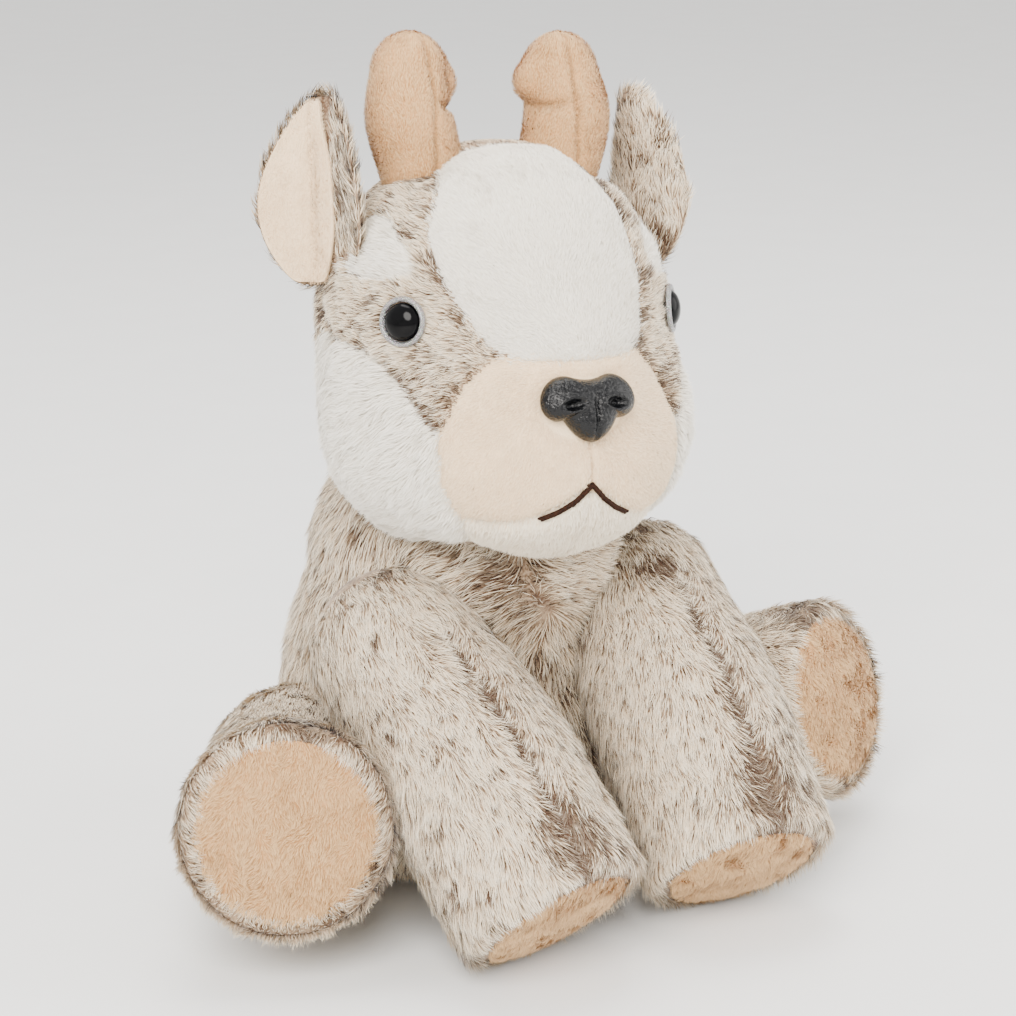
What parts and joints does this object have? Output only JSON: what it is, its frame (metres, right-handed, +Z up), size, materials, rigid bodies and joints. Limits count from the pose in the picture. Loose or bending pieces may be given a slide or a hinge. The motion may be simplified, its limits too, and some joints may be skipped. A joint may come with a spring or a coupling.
{
  "type": "plush goat kid toy",
  "caption": "Sitting stuffed goat kid with mottled fur, short curled horns, upright cupped ears, a white blaze, a plastic nose and eyes, and tan soles; neck, ears, legs and tail flex.",
  "frame": {"origin": "centre of the bounding box on the floor plane under the seat and feet", "axes": "+Z up, the goat looks along -Y, +X is its left side"},
  "size_m": [0.21, 0.1704, 0.2214],
  "materials": {
    "mottled_fur": "long pile fur fabric, brown at the root and cream at the tip, lying back from the face",
    "white_pile": "short soft white pile, short on the forehead and longer on the cheeks and chin",
    "cream_velvet": "short dense cream velvet",
    "tan_velvet": "short tan plush with fine wavy rows",
    "fibre_fill": "white polyester fibre filling",
    "bean_cloth": "thin woven pouch of pellets",
    "black_plastic": "glossy black moulded plastic, leathery grain on the nose",
    "silver_glitter": "silver glitter under a clear rim",
    "washer_plastic": "natural white plastic lock washer",
    "brown_thread": "dark brown embroidery thread"
  },
  "bodies": {
    "torso": {"torso_skin": "mottled_fur", "torso_stuffing": "fibre_fill", "bean_pouch": "bean_cloth"},
    "head": {"head_back_panel": "mottled_fur", "forehead_panel": "white_pile", "muzzle_panel": "cream_velvet", "chin_panel": "white_pile", "brow_panel_left": "white_pile", "brow_panel_right": "white_pile", "eye_panel_left": "mottled_fur", "eye_panel_right": "mottled_fur", "cheek_panel_left": "white_pile", "cheek_panel_right": "white_pile", "head_stuffing": "fibre_fill", "nose": "black_plastic", "nose_washer": "washer_plastic", "eye_left": "black_plastic", "eye_right": "black_plastic", "eye_ring_left": "silver_glitter", "eye_ring_right": "silver_glitter", "eye_washer_left": "washer_plastic", "eye_washer_right": "washer_plastic", "mouth_thread": "brown_thread", "horn_skin_left": "tan_velvet", "horn_skin_right": "tan_velvet", "horn_stuffing_left": "fibre_fill", "horn_stuffing_right": "fibre_fill"},
    "tail": {"tail_skin": "mottled_fur", "tail_stuffing": "fibre_fill"},
    "ear_left": {"ear_back_left": "mottled_fur", "ear_lining_left": "cream_velvet"},
    "front_leg_left": {"front_leg_skin_left": "mottled_fur", "front_leg_sole_left": "tan_velvet", "front_leg_stuffing_left": "fibre_fill"},
    "hind_leg_left": {"hind_leg_skin_left": "mottled_fur", "hind_leg_sole_left": "tan_velvet", "hind_leg_stuffing_left": "fibre_fill"},
    "ear_right": {"ear_back_right": "mottled_fur", "ear_lining_right": "cream_velvet"},
    "front_leg_right": {"front_leg_skin_right": "mottled_fur", "front_leg_sole_right": "tan_velvet", "front_leg_stuffing_right": "fibre_fill"},
    "hind_leg_right": {"hind_leg_skin_right": "mottled_fur", "hind_leg_sole_right": "tan_velvet", "hind_leg_stuffing_right": "fibre_fill"}
  },
  "joints": [
    {"name": "neck_turn", "type": "hinge", "parent": "torso", "child": "head", "pos_m": [0, 0.01455, 0.082], "axis": [0, 0, 1], "range_deg": [-30, 30], "stiffness_Nm_per_rad": 0.25},
    {"name": "tail_flex", "type": "hinge", "parent": "torso", "child": "tail", "pos_m": [0, 0.06555, 0.038], "axis": [1, 0, 0], "range_deg": [-15, 15], "stiffness_Nm_per_rad": 0.03},
    {"name": "ear_flex_left", "type": "hinge", "parent": "head", "child": "ear_left", "pos_m": [0.04474, 0.00552, 0.15441], "axis": [0, 1, 0], "range_deg": [-4, 28], "stiffness_Nm_per_rad": 0.03},
    {"name": "front_leg_lift_left", "type": "hinge", "parent": "torso", "child": "front_leg_left", "pos_m": [0.037, -0.01045, 0.069], "axis": [-1, 0, 0], "range_deg": [0, 25], "stiffness_Nm_per_rad": 0.12},
    {"name": "hind_leg_splay_left", "type": "hinge", "parent": "torso", "child": "hind_leg_left", "pos_m": [0.0505, 0.02055, 0.0275], "axis": [0, 0, 1], "range_deg": [0, 25], "stiffness_Nm_per_rad": 0.12},
    {"name": "ear_flex_right", "type": "hinge", "parent": "head", "child": "ear_right", "pos_m": [-0.04084, 0.01152, 0.1604], "axis": [0, -1, 0], "range_deg": [-4, 28], "stiffness_Nm_per_rad": 0.03},
    {"name": "front_leg_lift_right", "type": "hinge", "parent": "torso", "child": "front_leg_right", "pos_m": [-0.037, -0.01045, 0.069], "axis": [-1, 0, 0], "range_deg": [0, 25], "stiffness_Nm_per_rad": 0.12},
    {"name": "hind_leg_splay_right", "type": "hinge", "parent": "torso", "child": "hind_leg_right", "pos_m": [-0.0505, 0.02055, 0.0275], "axis": [0, 0, -1], "range_deg": [0, 25], "stiffness_Nm_per_rad": 0.12}
  ]
}
